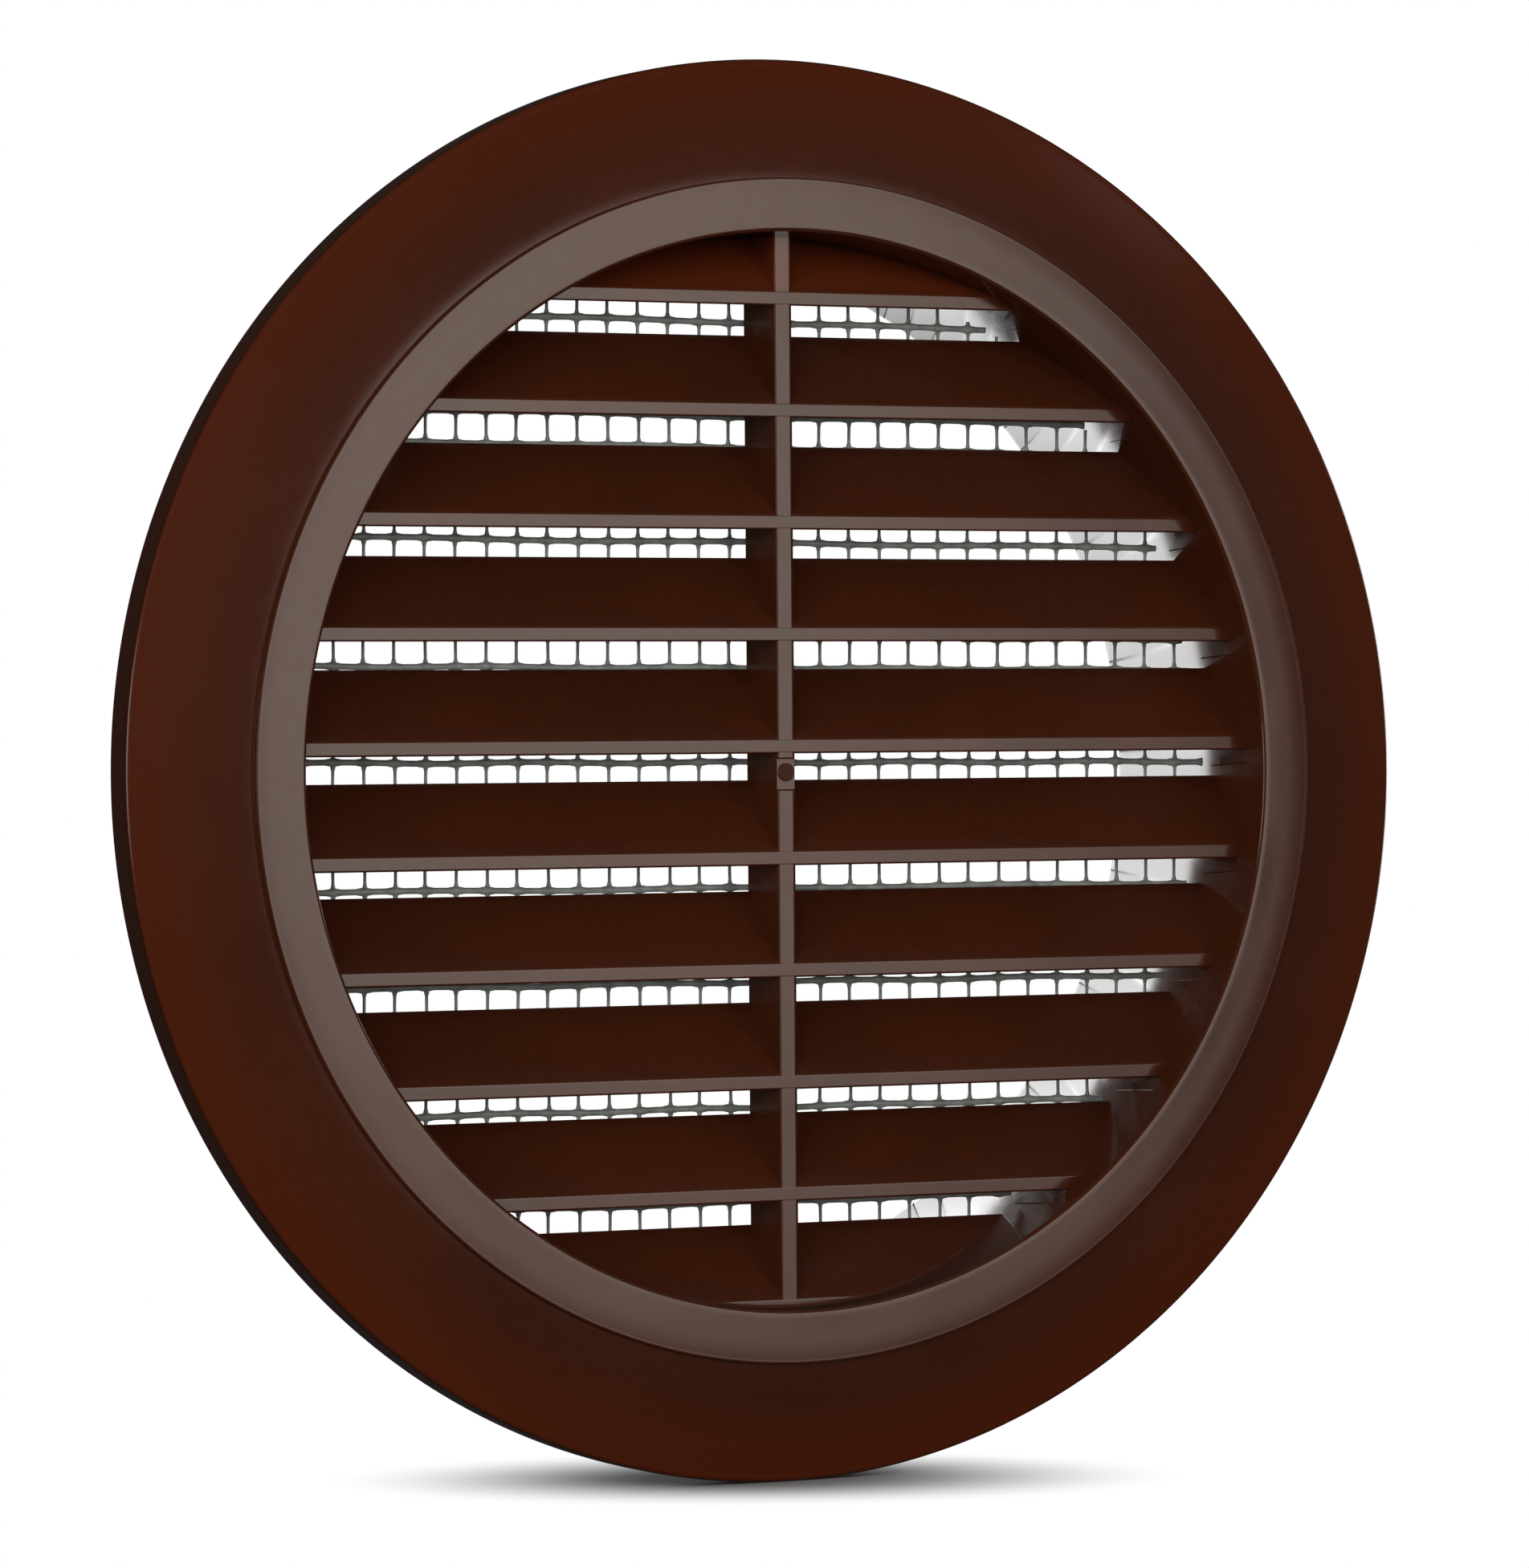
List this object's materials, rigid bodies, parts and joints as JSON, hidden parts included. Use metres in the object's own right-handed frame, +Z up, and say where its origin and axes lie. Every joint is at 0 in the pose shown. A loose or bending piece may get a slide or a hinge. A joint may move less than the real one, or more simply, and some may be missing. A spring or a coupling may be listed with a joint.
{
  "type": "round vent grille",
  "caption": "Round louvred vent grille with a swelled flange, a raised front ring, sloped slats crossed by an upright bar, an insect net behind them and a plain spigot for a round duct.",
  "frame": {"origin": "on the duct axis in the wall plane, which is the back of the flange", "axes": "+Y back along the spigot into the duct, +Z up so that the slats rise to the back, +X to the right seen from the front"},
  "size_m": [0.127, 0.0265, 0.127],
  "materials": {
    "brown_plastic": "satin as moulded",
    "net_plastic": "extruded"
  },
  "bodies": {
    "root": {"grille_body": "brown_plastic", "insect_net": "net_plastic"}
  },
  "joints": []
}
